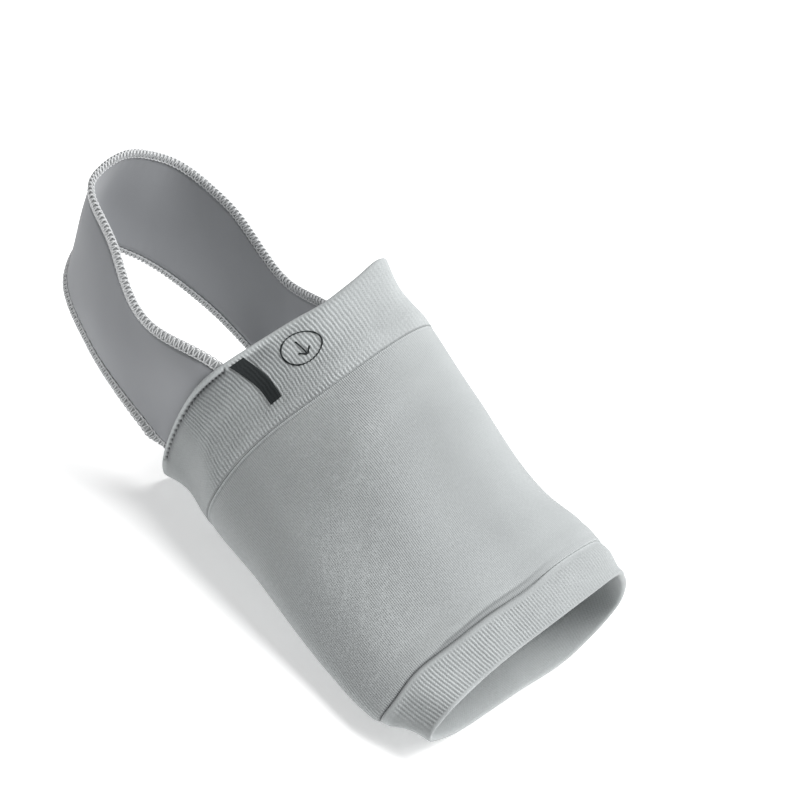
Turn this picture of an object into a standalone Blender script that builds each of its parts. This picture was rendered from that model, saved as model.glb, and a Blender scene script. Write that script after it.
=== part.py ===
# Knitted arch support sleeve with a heel strap, shaped for a right foot about 250 mm long.
# +X runs toward the toes, +Y toward the arch side of the foot and +Z up. The origin is on
# the inner face of the sole, half way along the sleeve. Lengths are in millimetres until
# a mesh is made, which is in metres.

from collections import namedtuple
from math import cos, pi, radians, sin

import bmesh
import bpy
import numpy as np

MM = 0.001

# Knitted tube: the inner face lies on the foot form, and the walls grow outward from it
SLEEVE_LENGTH = 125.0
INSTEP_WELT = 25.0
TOE_WELT = 18.0
BODY_WALL = 1.2
WELT_WALL = 1.8
SEAM_GAP = 0.3  # between the edges of two pieces
CLOTH_GAP = 0.5  # between two faces that lie on each other, whose facets differ
COLUMNS = 56  # facets round the tube
FACET = 5.0  # length of a facet along the tube

# Heel strap
STRAP_WALL = 1.3
STRAP_OVERLAP = 8.0  # length sewn in under the instep welt
STRAP_RUN_OUT = 1.0  # still parallel to the welt this far behind its edge
STRAP_WIDTH = 39.5  # with its edgings
STRAP_COLUMNS = 6
STRAP_FACET = 5.0
SEAM_OUTER = (0.148, 0.327)  # lower and upper end of the seam, as fractions of the girth
SEAM_INNER = (0.872, 0.700)
EDGING_RADIUS = 1.2  # overlocked edges of the strap
END_SEAM_RADIUS = 0.9  # overlocked ends of the strap, inside the welt

# Silicone arch pad inside the sole
PAD_CENTRE = (62.0, 0.875)  # distance along the sleeve, fraction of the girth
PAD_HALF_LENGTH = 47.0
PAD_HALF_WIDTH = 28.0
PAD_TURN = 6.0  # degrees
PAD_RIM = 1.2
PAD_HEIGHT = 6.5
PAD_FLANGE = 0.9  # the dome starts at this fraction of the oval
PAD_RINGS = (0.2, 0.4, 0.57, 0.71, 0.82, 0.9, 1.0)
PAD_SPOKES = 36

# Black size bar on the instep welt
BAR_START = 2.5
BAR_LENGTH = 17.0
BAR_WIDTH = 5.0
BAR_FRACTION = 0.341  # its middle at its rear end
BAR_DRIFT = 0.00035  # fraction of the girth gained per millimetre, along the ribs
BAR_WALL = 0.4

GIRTH = 230.0  # of the foot form, nearly the same all along

# Sections of the foot form. x is where the section crosses the sole, and it gains lean for
# each millimetre of height and skew for each millimetre toward the arch. outer and inner
# are its widest points, crest its top, outer_full the fullness of the outer shoulder and
# arch the lift of the sole under the arch.
Section = namedtuple(
    "Section", "run x lean skew outer_y outer_z inner_y inner_z crest_y crest_z outer_full arch"
)
SECTIONS = (
    Section(0, -57.5, 0.23, 0.15, -33.5, 41.0, 27.0, 30.0, 12.5, 83.5, 0.46, 6.0),
    Section(12, -47.0, 0.23, 0.11, -32.0, 30.0, 31.0, 29.0, 13.5, 77.0, 0.57, 7.5),
    Section(25, -33.5, 0.22, 0.06, -38.0, 22.0, 34.0, 28.0, 12.0, 73.5, 0.64, 9.0),
    Section(55, -3.5, 0.16, 0.01, -44.5, 14.0, 39.0, 23.5, 10.0, 63.0, 0.73, 9.0),
    Section(85, 29.5, 0.14, -0.01, -50.0, 6.0, 44.0, 18.5, 10.0, 48.5, 0.75, 5.0),
    Section(107, 51.5, 0.18, -0.01, -52.5, 5.0, 47.0, 16.0, 15.5, 42.0, 0.67, 1.0),
    Section(125, 66.0, 0.09, -0.03, -48.5, 8.0, 45.0, 13.5, 23.0, 35.0, 0.62, 0.0),
)
SHOULDER_INSET = 0.42  # how far a shoulder lies from the widest point toward the crest
INNER_FULL = 0.75
SOLE_OUTER = 0.68  # where the sole leaves the ground, as a fraction of the half width
SOLE_INNER = 0.66
SOLE_MIDDLE = 0.08
SOLE_LIFT = 0.35  # share of the arch lift at the middle of the sole

# Rows across the strap's outer face, edgings included, from the outer seam to the back of
# the heel. The inner side is the same rows mirrored about centre_y.
StrapRow = namedtuple("StrapRow", "centre_y lower middle upper")
STRAP_ROWS = (
    StrapRow(0.0, (-66.0, -31.0, 13.5), (-71.5, -33.0, 31.5), (-76.0, -32.0, 47.0)),
    StrapRow(-3.5, (-95.5, -31.5, 23.5), (-99.0, -34.0, 43.0), (-102.0, -31.0, 63.0)),
    StrapRow(-6.5, (-118.5, -23.0, 32.5), (-119.5, -23.0, 53.5), (-118.0, -23.5, 72.5)),
    StrapRow(-6.5, (-126.0, -6.5, 37.5), (-125.5, -6.5, 57.0), (-120.5, -6.5, 76.5)),
)

# Colour, roughness
MATERIALS = {
    "grey_jersey": ((0.42, 0.44, 0.45), 0.85),
    "grey_rib": ((0.42, 0.44, 0.45), 0.85),
    "strap_cloth": ((0.38, 0.39, 0.41), 0.8),
    "pale_thread": ((0.62, 0.60, 0.61), 0.75),
    "arch_silicone": ((0.30, 0.34, 0.33), 0.35),
    "black_print": ((0.022, 0.026, 0.027), 0.6),
}


def smooth_rows(stations, rows, at):
    """Cubic through rows of numbers at uneven stations, read at other stations."""
    stations = np.asarray(stations, float)
    rows = np.asarray(rows, float)
    at = np.atleast_1d(np.asarray(at, float))
    gaps = np.diff(stations)[:, None]
    steps = np.diff(rows, axis=0) / gaps
    slopes = np.empty_like(rows)
    slopes[0] = steps[0]
    slopes[-1] = steps[-1]
    slopes[1:-1] = (steps[:-1] * gaps[1:] + steps[1:] * gaps[:-1]) / (gaps[1:] + gaps[:-1])
    k = np.clip(np.searchsorted(stations, at, side="right") - 1, 0, len(stations) - 2)
    span = gaps[k]
    t = (at - stations[k])[:, None] / span
    return (
        (2 * t**3 - 3 * t**2 + 1) * rows[k]
        + (t**3 - 2 * t**2 + t) * span * slopes[k]
        + (3 * t**2 - 2 * t**3) * rows[k + 1]
        + (t**3 - t**2) * span * slopes[k + 1]
    )


def section_keys(s):
    """Eight points (y, z) round a section, from mid sole by the outer side and the crest."""
    outer_y = s.outer_y + SHOULDER_INSET * (s.crest_y - s.outer_y)
    outer_z = s.outer_z + s.outer_full * (s.crest_z - s.outer_z)
    inner_y = s.inner_y + SHOULDER_INSET * (s.crest_y - s.inner_y)
    inner_z = s.inner_z + INNER_FULL * (s.crest_z - s.inner_z)
    return np.array(
        [
            (SOLE_MIDDLE * (s.inner_y + s.outer_y), SOLE_LIFT * s.arch),
            (SOLE_OUTER * s.outer_y, 0.0),
            (s.outer_y, s.outer_z),
            (outer_y, outer_z),
            (s.crest_y, s.crest_z),
            (inner_y, inner_z),
            (s.inner_y, s.inner_z),
            (SOLE_INNER * s.inner_y, s.arch),
        ]
    )


def ring_at(keys, fractions, steps=16):
    """Points of a smooth closed ring through its keys, at fractions of its length."""
    t = np.linspace(0, 1, steps, endpoint=False)[:, None]
    spans = []
    for k in range(len(keys)):
        a, b, c, d = (keys[(k + j - 1) % len(keys)] for j in range(4))
        spans.append(b + 0.5 * t * (c - a + t * (2 * a - 5 * b + 4 * c - d + t * (3 * (b - c) + d - a))))
    ring = np.vstack(spans + [keys[:1]])
    along = np.concatenate([[0.0], np.cumsum(np.linalg.norm(np.diff(ring, axis=0), axis=1))])
    want = np.mod(fractions, 1.0) * along[-1]
    return np.column_stack([np.interp(want, along, ring[:, i]) for i in range(2)])


def foot_form(runs, fractions):
    """Points of the sleeve's inner face: a row for each run, a column for each fraction."""
    sections = smooth_rows([s.run for s in SECTIONS], SECTIONS, runs)
    grid = []
    for row in sections:
        s = Section(*row)
        yz = ring_at(section_keys(s), np.asarray(fractions, float))
        x = s.x + s.lean * yz[:, 1] + s.skew * yz[:, 0]
        grid.append(np.column_stack([x, yz]))
    return np.array(grid)


def outward(runs, fractions):
    """Unit normals of the foot form, pointing out of the foot."""
    half_run, half_fraction = 0.5, 0.002
    runs = np.asarray(runs, float)
    fractions = np.asarray(fractions, float)
    along = foot_form(runs + half_run, fractions) - foot_form(runs - half_run, fractions)
    around = foot_form(runs, fractions + half_fraction) - foot_form(runs, fractions - half_fraction)
    normals = np.cross(along, around)
    return normals / np.linalg.norm(normals, axis=-1, keepdims=True)


def lifted(runs, fractions, lift):
    """Points at a height above the foot form."""
    return foot_form(runs, fractions) + lift * outward(runs, fractions)


def link(obj, material):
    obj.data.materials.append(bpy.data.materials[material])
    collection.objects.link(obj)
    return obj


def mesh_object(name, points, faces, material):
    mesh = bpy.data.meshes.new(name)
    bm = bmesh.new()
    verts = [bm.verts.new(point * MM) for point in points]
    for face in faces:
        bm.faces.new([verts[i] for i in face])
    bm.to_mesh(mesh)
    bm.free()
    mesh.shade_smooth()
    return link(bpy.data.objects.new(name, mesh), material)


def sheet_object(name, grid, closed, material):
    """An open sheet of quads on a grid of points, closed round its columns or not."""
    rows, columns = grid.shape[:2]
    faces = []
    for i in range(rows - 1):
        for j in range(columns if closed else columns - 1):
            k = (j + 1) % columns
            faces.append((i * columns + j, (i + 1) * columns + j, (i + 1) * columns + k, i * columns + k))
    return mesh_object(name, grid.reshape(-1, 3), faces, material)


def thicken(obj, wall, offset):
    solidify = obj.modifiers.new("Wall", "SOLIDIFY")
    solidify.thickness = wall * MM
    solidify.offset = offset
    solidify.use_quality_normals = True
    return obj


def tube_piece(name, start, end, wall, material):
    """One length of the knitted tube, from one run to another."""
    runs = np.linspace(start, end, max(round((end - start) / FACET), 3) + 1)
    fractions = np.arange(COLUMNS) / COLUMNS
    return thicken(sheet_object(name, foot_form(runs, fractions), True, material), wall, 1.0)


def strap_face():
    """Grid of points on the strap's outer face, a row for each station along it."""
    edge = (SEAM_GAP + 2 * EDGING_RADIUS) / STRAP_WIDTH
    t = np.linspace(edge, 1 - edge, STRAP_COLUMNS + 1)
    seam_runs = np.linspace(STRAP_OVERLAP, -STRAP_RUN_OUT, 3)
    outer_seam = lifted(seam_runs, np.interp(t, (0, 1), SEAM_OUTER), -CLOTH_GAP)
    inner_seam = lifted(seam_runs, np.interp(t, (0, 1), SEAM_INNER), -CLOTH_GAP)
    rows = []
    for row in STRAP_ROWS:
        a, b, c = (np.array(point)[None, :] for point in (row.lower, row.middle, row.upper))
        u = t[:, None]
        rows.append(a * (1 - u) * (1 - 2 * u) + 4 * b * u * (1 - u) + c * u * (2 * u - 1))
    mirrored = []
    for row, points in list(zip(STRAP_ROWS, rows))[-2::-1]:
        flipped = points * (1, -1, 1)
        mirrored.append(flipped + (0, 2 * row.centre_y, 0))
    path = np.array(list(outer_seam) + rows + mirrored + list(inner_seam[::-1]))
    middle = path[:, STRAP_COLUMNS // 2]
    along = np.concatenate([[0.0], np.cumsum(np.linalg.norm(np.diff(middle, axis=0), axis=1))])
    free = np.arange(along[2], along[-3], STRAP_FACET)
    stations = np.concatenate([along[:2], np.linspace(along[2], along[-3], len(free)), along[-2:]])
    face = smooth_rows(along, path.reshape(len(path), -1), stations)
    return face.reshape(len(stations), -1, 3)


def bead(name, path, radius, material):
    """A round bead along a path of points, with closed ends."""
    curve = bpy.data.curves.new(name, "CURVE")
    curve.dimensions = "3D"
    curve.bevel_depth = radius * MM
    curve.bevel_resolution = 2
    curve.use_fill_caps = True
    spline = curve.splines.new("POLY")
    spline.points.add(len(path) - 1)
    for point, place in zip(spline.points, path):
        point.co = (*(place * MM), 1.0)
    return link(bpy.data.objects.new(name, curve), material)


def unit(vectors):
    return vectors / np.linalg.norm(vectors, axis=-1, keepdims=True)


def make_strap():
    face = strap_face()
    # The normals of this grid point in toward the heel, so the wall grows that way
    thicken(sheet_object("heel_strap", face, False, "strap_cloth"), STRAP_WALL, 1.0)

    along = np.gradient(face, axis=0)
    across = np.gradient(face, axis=1)
    inward = unit(np.cross(along, across))
    core = face + 0.5 * STRAP_WALL * inward
    reach = SEAM_GAP + EDGING_RADIUS
    free = slice(2, -2)
    for name, column, side in (("lower", 0, -1), ("upper", -1, 1)):
        edge = core[:, column]
        out = side * unit(np.cross(inward[:, column], np.gradient(edge, axis=0)))
        path = edge + reach * out
        bead("strap_edging_" + name, path[free], EDGING_RADIUS, "pale_thread")

    reach = SEAM_GAP + END_SEAM_RADIUS
    sunk = END_SEAM_RADIUS - 0.5 * STRAP_WALL
    for name, row, side, seam in (("outer", 0, -1, SEAM_OUTER), ("inner", -1, 1, SEAM_INNER)):
        path = core[row] + side * reach * unit(along[row]) + sunk * inward[row]
        bead("strap_end_seam_" + name, path, END_SEAM_RADIUS, "pale_thread")


def make_pad():
    """Silicone pad: an oval laid on the inner face of the sole, domed toward the foot."""
    turn = radians(PAD_TURN)
    outer = []
    inner = []
    for radius in PAD_RINGS:
        dome = max(0.0, 1.0 - (radius / PAD_FLANGE) ** 2)
        height = PAD_RIM + (PAD_HEIGHT - PAD_RIM) * dome
        for k in range(PAD_SPOKES):
            angle = 2 * pi * k / PAD_SPOKES
            a = PAD_HALF_LENGTH * radius * cos(angle)
            b = PAD_HALF_WIDTH * radius * sin(angle)
            run = PAD_CENTRE[0] + a * cos(turn) - b * sin(turn)
            fraction = PAD_CENTRE[1] + (a * sin(turn) + b * cos(turn)) / GIRTH
            outer.append(lifted([run], [fraction], -CLOTH_GAP)[0, 0])
            inner.append(lifted([run], [fraction], -CLOTH_GAP - height)[0, 0])
    centre_outer = lifted([PAD_CENTRE[0]], [PAD_CENTRE[1]], -CLOTH_GAP)[0, 0]
    centre_inner = lifted([PAD_CENTRE[0]], [PAD_CENTRE[1]], -CLOTH_GAP - PAD_HEIGHT)[0, 0]
    points = outer + inner + [centre_outer, centre_inner]

    count = len(outer)
    faces = []
    for k in range(PAD_SPOKES):
        m = (k + 1) % PAD_SPOKES
        faces.append((2 * count, k, m))
        faces.append((2 * count + 1, count + m, count + k))
        for ring in range(len(PAD_RINGS) - 1):
            a = ring * PAD_SPOKES
            b = a + PAD_SPOKES
            faces.append((a + k, b + k, b + m, a + m))
            faces.append((count + a + m, count + b + m, count + b + k, count + a + k))
        rim = count - PAD_SPOKES
        faces.append((rim + k, count + rim + k, count + rim + m, rim + m))
    mesh_object("arch_gel_pad", points, faces, "arch_silicone")


def make_size_bar():
    steps_along, steps_around = 6, 2
    grid = []
    for run in np.linspace(BAR_START, BAR_START + BAR_LENGTH, steps_along + 1):
        middle = BAR_FRACTION + BAR_DRIFT * (run - BAR_START)
        half = 0.5 * BAR_WIDTH / GIRTH
        fractions = np.linspace(middle - half, middle + half, steps_around + 1)
        grid.append(lifted([run], fractions, WELT_WALL + CLOTH_GAP)[0])
    thicken(sheet_object("size_bar", np.array(grid), False, "black_print"), BAR_WALL, 1.0)


for old in list(bpy.data.objects):
    bpy.data.objects.remove(old, do_unlink=True)
collection = bpy.data.collections.new("arch_support_sleeve")
bpy.context.scene.collection.children.link(collection)

for material_name, (colour, roughness) in MATERIALS.items():
    material = bpy.data.materials.new(material_name)
    material.use_nodes = True
    shader = material.node_tree.nodes["Principled BSDF"]
    shader.inputs["Base Color"].default_value = (*colour, 1.0)
    shader.inputs["Roughness"].default_value = roughness
    material.diffuse_color = (*colour, 1.0)

half_gap = 0.5 * SEAM_GAP
toe_start = SLEEVE_LENGTH - TOE_WELT
tube_piece("instep_welt", 0, INSTEP_WELT - half_gap, WELT_WALL, "grey_rib")
tube_piece("sleeve_body", INSTEP_WELT + half_gap, toe_start - half_gap, BODY_WALL, "grey_jersey")
tube_piece("toe_welt", toe_start + half_gap, SLEEVE_LENGTH, WELT_WALL, "grey_rib")
make_strap()
make_pad()
make_size_bar()
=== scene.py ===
from collections import namedtuple
from math import cos, pi, radians, sin

import bpy
import numpy as np
from mathutils import Matrix, Vector


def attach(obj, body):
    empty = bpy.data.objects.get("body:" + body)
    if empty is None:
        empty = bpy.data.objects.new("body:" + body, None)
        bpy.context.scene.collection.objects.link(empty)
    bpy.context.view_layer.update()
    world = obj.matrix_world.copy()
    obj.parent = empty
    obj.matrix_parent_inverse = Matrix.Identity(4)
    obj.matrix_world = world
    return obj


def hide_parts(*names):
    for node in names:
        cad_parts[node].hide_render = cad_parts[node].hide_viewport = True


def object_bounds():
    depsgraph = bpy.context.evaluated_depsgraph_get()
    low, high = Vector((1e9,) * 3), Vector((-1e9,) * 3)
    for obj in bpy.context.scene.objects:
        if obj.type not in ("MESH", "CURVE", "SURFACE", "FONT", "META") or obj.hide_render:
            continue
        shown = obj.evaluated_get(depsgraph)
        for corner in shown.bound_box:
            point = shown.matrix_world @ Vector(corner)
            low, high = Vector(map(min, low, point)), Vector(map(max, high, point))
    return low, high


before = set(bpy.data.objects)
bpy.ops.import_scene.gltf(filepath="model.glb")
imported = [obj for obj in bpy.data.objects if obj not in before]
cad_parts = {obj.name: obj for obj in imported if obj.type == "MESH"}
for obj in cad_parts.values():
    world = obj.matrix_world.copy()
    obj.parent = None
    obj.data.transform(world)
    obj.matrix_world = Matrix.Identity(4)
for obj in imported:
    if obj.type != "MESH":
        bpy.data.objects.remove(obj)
cadLow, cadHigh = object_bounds()
mm = 0.001
print("model loaded:", len(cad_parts), "pieces")


# Form under the cloth, the same one as in the model, in millimetres
Section = namedtuple("Section", "run x lean skew outerY outerZ innerY innerZ crestY crestZ outerFull arch")
sections = (
    Section(0, -57.5, 0.23, 0.15, -33.5, 41.0, 27.0, 30.0, 12.5, 83.5, 0.46, 6.0),
    Section(12, -47.0, 0.23, 0.11, -32.0, 30.0, 31.0, 29.0, 13.5, 77.0, 0.57, 7.5),
    Section(25, -33.5, 0.22, 0.06, -38.0, 22.0, 34.0, 28.0, 12.0, 73.5, 0.64, 9.0),
    Section(55, -3.5, 0.16, 0.01, -44.5, 14.0, 39.0, 23.5, 10.0, 63.0, 0.73, 9.0),
    Section(85, 29.5, 0.14, -0.01, -50.0, 6.0, 44.0, 18.5, 10.0, 48.5, 0.75, 5.0),
    Section(107, 51.5, 0.18, -0.01, -52.5, 5.0, 47.0, 16.0, 15.5, 42.0, 0.67, 1.0),
    Section(125, 66.0, 0.09, -0.03, -48.5, 8.0, 45.0, 13.5, 23.0, 35.0, 0.62, 0.0),
)
form = {
    "girth": 230.0,
    "shoulderInset": 0.42,
    "innerFull": 0.75,
    "soleOuter": 0.68,
    "soleInner": 0.66,
    "soleMiddle": 0.08,
    "soleLift": 0.35,
}


def smoothRows(stations, rows, at):
    stations = np.asarray(stations, float)
    rows = np.asarray(rows, float)
    at = np.atleast_1d(np.asarray(at, float))
    gaps = np.diff(stations)[:, None]
    steps = np.diff(rows, axis=0) / gaps
    slopes = np.empty_like(rows)
    slopes[0] = steps[0]
    slopes[-1] = steps[-1]
    slopes[1:-1] = (steps[:-1] * gaps[1:] + steps[1:] * gaps[:-1]) / (gaps[1:] + gaps[:-1])
    k = np.clip(np.searchsorted(stations, at, side="right") - 1, 0, len(stations) - 2)
    span = gaps[k]
    t = (at - stations[k])[:, None] / span
    return (
        (2 * t**3 - 3 * t**2 + 1) * rows[k]
        + (t**3 - 2 * t**2 + t) * span * slopes[k]
        + (3 * t**2 - 2 * t**3) * rows[k + 1]
        + (t**3 - t**2) * span * slopes[k + 1]
    )


def sectionKeys(s):
    outerY = s.outerY + form["shoulderInset"] * (s.crestY - s.outerY)
    outerZ = s.outerZ + s.outerFull * (s.crestZ - s.outerZ)
    innerY = s.innerY + form["shoulderInset"] * (s.crestY - s.innerY)
    innerZ = s.innerZ + form["innerFull"] * (s.crestZ - s.innerZ)
    return np.array([
        (form["soleMiddle"] * (s.innerY + s.outerY), form["soleLift"] * s.arch),
        (form["soleOuter"] * s.outerY, 0.0),
        (s.outerY, s.outerZ),
        (outerY, outerZ),
        (s.crestY, s.crestZ),
        (innerY, innerZ),
        (s.innerY, s.innerZ),
        (form["soleInner"] * s.innerY, s.arch),
    ])


def ringPoints(keys, t):
    k = np.floor(t).astype(int)
    u = (t - k)[:, None]
    a, b, c, d = (keys[(k + j) % len(keys)] for j in (-1, 0, 1, 2))
    return b + 0.5 * u * (c - a + u * (2 * a - 5 * b + 4 * c - d + u * (3 * (b - c) + d - a)))


def ringAt(keys, fractions, steps=40):
    t = np.arange(len(keys) * steps + 1) / steps
    ring = ringPoints(keys, t)
    along = lengthsAlong(ring)
    return ringPoints(keys, np.interp(np.mod(fractions, 1.0) * along[-1], along, t))


def formPoints(runs, fractions):
    grid = []
    for row in smoothRows([s.run for s in sections], sections, runs):
        s = Section(*row)
        yz = ringAt(sectionKeys(s), np.asarray(fractions, float))
        x = s.x + s.lean * yz[:, 1] + s.skew * yz[:, 0]
        grid.append(np.column_stack([x, yz]))
    return np.array(grid)


# Where the cloth is drawn in or stands out: run, fraction, reach along, reach round, mm
pulls = (
    (6.0, 0.09, 9.0, 0.05, -1.1),
    (7.0, 0.577, 9.0, 0.04, -1.4),
    (97.0, 0.64, 6.0, 0.05, 0.8),
    (117.0, 0.22, 7.5, 0.045, -1.7),
    (120.0, 0.64, 6.0, 0.05, -0.8),
)


def pulled(runs, fractions):
    total = np.zeros((len(runs), len(fractions)))
    for run, fraction, along, round_, by in pulls:
        away = np.mod(fractions - fraction + 0.5, 1.0) - 0.5
        total += by * np.outer(bump(runs, run, along), bump(away, 0.0, round_))
    return total


def unit(vectors):
    return vectors / np.linalg.norm(vectors, axis=-1, keepdims=True)


def lengthsAlong(path):
    return np.concatenate([[0.0], np.cumsum(np.linalg.norm(np.diff(path, axis=0), axis=1))])


def anglesRound(count):
    return 2 * pi * np.arange(count) / count


def clothPoints(runs, fractions, lift, slide=0.0):
    # points at a height over the form, a row for each run and a column for each fraction
    runs = np.asarray(runs, float)
    fractions = np.asarray(fractions, float)
    along = formPoints(runs + 0.5, fractions) - formPoints(runs - 0.5, fractions)
    around = formPoints(runs, fractions + 0.002) - formPoints(runs, fractions - 0.002)
    shape = (len(runs), len(fractions))
    lift = (np.broadcast_to(lift, shape) + pulled(runs, fractions))[:, :, None]
    slide = np.broadcast_to(slide, shape)[:, :, None]
    return formPoints(runs, fractions) + slide * along + lift * unit(np.cross(along, around))


def smoothStep(low, high, x):
    t = np.clip((x - low) / (high - low), 0.0, 1.0)
    return t * t * (3 - 2 * t)


def between(x, start, full, fading, end):
    # 1 from full to fading, and 0 before start and after end
    return smoothStep(start, full, x) * (1 - smoothStep(fading, end, x))


def bump(x, middle, width):
    return np.exp(-(((x - middle) / width) ** 2))


def gridOf(runs, fractions):
    # runs down the rows and fractions across the columns
    return np.asarray(runs, float)[:, None], np.asarray(fractions, float)[None, :]


def wander(fractions, places, samples=480, blur=34):
    # how far a line strays along the cloth, from (fraction, mm) pairs round the girth
    at, by = np.array(places).T
    steps = np.arange(samples) / samples
    fine = np.interp(steps, at, by, period=1.0)
    soft = np.real(np.fft.ifft(np.fft.fft(fine) * np.exp(-((np.fft.fftfreq(samples) * blur) ** 2))))
    return np.interp(fractions, steps, soft, period=1.0)


def addObject(name, data):
    thing = bpy.data.objects.new(name, data)
    bpy.context.scene.collection.objects.link(thing)
    return thing


# Meshes. A part is (points, quads, uv, finish), with uv in millimetres of cloth
def flatMap(along, across):
    return np.stack(np.meshgrid(along, across, indexing="ij"), axis=2)


def sweep(rings, closedPath, cloth, finish=0):
    # cloth is the map, with one more row and column than there are quads
    stations, around = rings.shape[:2]
    spans = stations if closedPath else stations - 1
    i = np.repeat(np.arange(spans), around)
    j = np.tile(np.arange(around), spans)
    iNext = (i + 1) % stations
    jNext = (j + 1) % around
    quads = np.column_stack([i * around + j, iNext * around + j, iNext * around + jNext, i * around + jNext])
    uv = np.stack([cloth[i, j], cloth[i + 1, j], cloth[i + 1, j + 1], cloth[i, j + 1]], axis=1)
    if not closedPath:
        k = np.arange(around // 2 - 1)
        cap = np.column_stack([k, k + 1, around - 2 - k, around - 1 - k])
        last = (stations - 1) * around
        quads = np.vstack([quads, cap, last + cap[:, ::-1]])
        uv = np.concatenate([uv, cloth[0, cap], cloth[-1, cap[:, ::-1]]])
    points = rings.reshape(-1, 3)
    a, b, c, d = (points[quads[:, n]] for n in range(4))
    volume = (a * np.cross(b, c)).sum() + (a * np.cross(c, d)).sum()
    if volume < 0:
        quads = quads[:, ::-1]
        uv = uv[:, ::-1]
    return points, quads, uv, finish


def makePiece(name, parts, materials):
    points = []
    quads = []
    uvs = []
    finishes = []
    count = 0
    for partPoints, partQuads, partUv, finish in parts:
        points.append(partPoints)
        quads.append(partQuads + count)
        uvs.append(partUv)
        finishes.append(np.full(len(partQuads), finish))
        count += len(partPoints)
    mesh = bpy.data.meshes.new(name)
    mesh.from_pydata((np.vstack(points) * mm).tolist(), [], np.vstack(quads).tolist())
    mesh.uv_layers.new(name="cloth").data.foreach_set("uv", np.vstack(uvs).ravel())
    mesh.polygons.foreach_set("material_index", np.concatenate(finishes).astype(np.int32))
    mesh.polygons.foreach_set("use_smooth", np.ones(len(mesh.polygons), bool))
    for material in materials:
        mesh.materials.append(material)
    print(name, "made:", len(mesh.polygons), "quads")
    return addObject(name, mesh)


def threadTube(path, radius, sides=5):
    # round tube along a path, its sides carried along without twisting
    tangents = unit(np.gradient(path, axis=0))
    side = np.cross(tangents[0], (0.3, 0.5, 0.8))
    rings = []
    angles = anglesRound(sides)[:, None]
    for place, tangent in zip(path, tangents):
        side = unit(side - tangent * (side @ tangent))
        up = np.cross(tangent, side)
        rings.append(place + radius * (np.cos(angles) * side + np.sin(angles) * up))
    return sweep(np.array(rings), False, flatMap(lengthsAlong(path), np.linspace(0, 1, sides + 1)))


# Materials. Cloth patterns read the "cloth" map, in millimetres round and along the cloth
def newMaterial(name, roughness, sheen=0.0):
    material = bpy.data.materials.new(name)
    material.use_nodes = True
    shader = material.node_tree.nodes["Principled BSDF"]
    shader.inputs["Roughness"].default_value = roughness
    shader.inputs["Specular IOR Level"].default_value = 0.25
    shader.inputs["Sheen Weight"].default_value = sheen
    shader.inputs["Sheen Roughness"].default_value = 0.45
    return material.node_tree, shader, material


def maths(tree, operation, a, b=0.0):
    node = tree.nodes.new("ShaderNodeMath")
    node.operation = operation
    for socket, value in zip(node.inputs, (a, b)):
        if isinstance(value, (int, float)):
            socket.default_value = value
        else:
            tree.links.new(value, socket)
    return node.outputs[0]


def plus(tree, a, b):
    return maths(tree, "ADD", a, b)


def minus(tree, a, b):
    return maths(tree, "SUBTRACT", a, b)


def times(tree, a, b):
    return maths(tree, "MULTIPLY", a, b)


def clothMap(tree):
    node = tree.nodes.new("ShaderNodeUVMap")
    node.uv_map = "cloth"
    split = tree.nodes.new("ShaderNodeSeparateXYZ")
    tree.links.new(node.outputs["UV"], split.inputs[0])
    return node.outputs["UV"], split.outputs["X"], split.outputs["Y"]


def stripes(tree, coordinate, pitch):
    # 1 on the stripes' crests and 0 between them
    wave = maths(tree, "COSINE", times(tree, coordinate, 2 * pi / pitch))
    return plus(tree, times(tree, wave, 0.5), 0.5)


def layers(tree, *parts):
    # patterns laid over each other, each by its share, round a middle of 0.5
    total = 0.5
    for pattern, share in parts:
        part = times(tree, minus(tree, pattern, 0.5), share)
        total = plus(tree, total, part)
    return total


def speckle(tree, coordinates, scale, stretch=(1.0, 1.0, 1.0), detail=2.0):
    mapping = tree.nodes.new("ShaderNodeMapping")
    mapping.inputs["Scale"].default_value = stretch
    tree.links.new(coordinates, mapping.inputs["Vector"])
    noise = tree.nodes.new("ShaderNodeTexNoise")
    noise.inputs["Scale"].default_value = scale
    noise.inputs["Detail"].default_value = detail
    tree.links.new(mapping.outputs["Vector"], noise.inputs["Vector"])
    return noise.outputs["Fac"]


def colourBetween(tree, factor, low, high):
    ramp = tree.nodes.new("ShaderNodeValToRGB")
    ramp.color_ramp.elements[0].color = (*low, 1.0)
    ramp.color_ramp.elements[1].color = (*high, 1.0)
    tree.links.new(factor, ramp.inputs["Fac"])
    return ramp.outputs["Color"]


def bumpFrom(tree, shader, height, distance):
    node = tree.nodes.new("ShaderNodeBump")
    node.inputs["Strength"].default_value = 1.0
    node.inputs["Distance"].default_value = distance * mm
    tree.links.new(height, node.inputs["Height"])
    tree.links.new(node.outputs["Normal"], shader.inputs["Normal"])


def shade(colour, factor):
    return tuple(factor * c for c in colour)


colours = {
    "knit": (0.414, 0.435, 0.438),
    # the strap is the body's grey cloth, coloured darker here as painted shade
    "strap": (0.323, 0.332, 0.348),
    # cut edge under the overlock threads, coloured lighter than the strap it is cut from: painted light in
    # the shaded gaps
    "underThreadPaintedLight": (0.385, 0.395, 0.40),
    # painted shade: the near-black that the crease values mix the cloth toward
    "crease": (0.10, 0.105, 0.11),
    "thread": ((0.57, 0.585, 0.59), (0.89, 0.90, 0.91)),     # darkest and palest
    "silicone": ((0.30, 0.345, 0.34), (0.37, 0.41, 0.40)),
    "print": ((0.009, 0.012, 0.013), (0.026, 0.031, 0.033)),
    "floor": ((0.93, 0.93, 0.93), (0.95, 0.95, 0.95)),
}
knit = {
    "walePitch": 0.60,       # mm, of the fine lengthwise rows
    "coursePitch": 0.52,
    "loopPitch": 0.8,        # of the loops on the ribs
    "rowTone": 5.9,          # how strongly the jersey's rows and yarns show
    "yarnTone": 1.7,
    "ribTone": 0.62,         # and the ribs and their yarns
    "ribYarnTone": 1.25,
    "melange": 0.20,         # how far single yarns differ in tone
    "ribMelange": 0.27,
    "sheen": 0.25,
}


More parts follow.
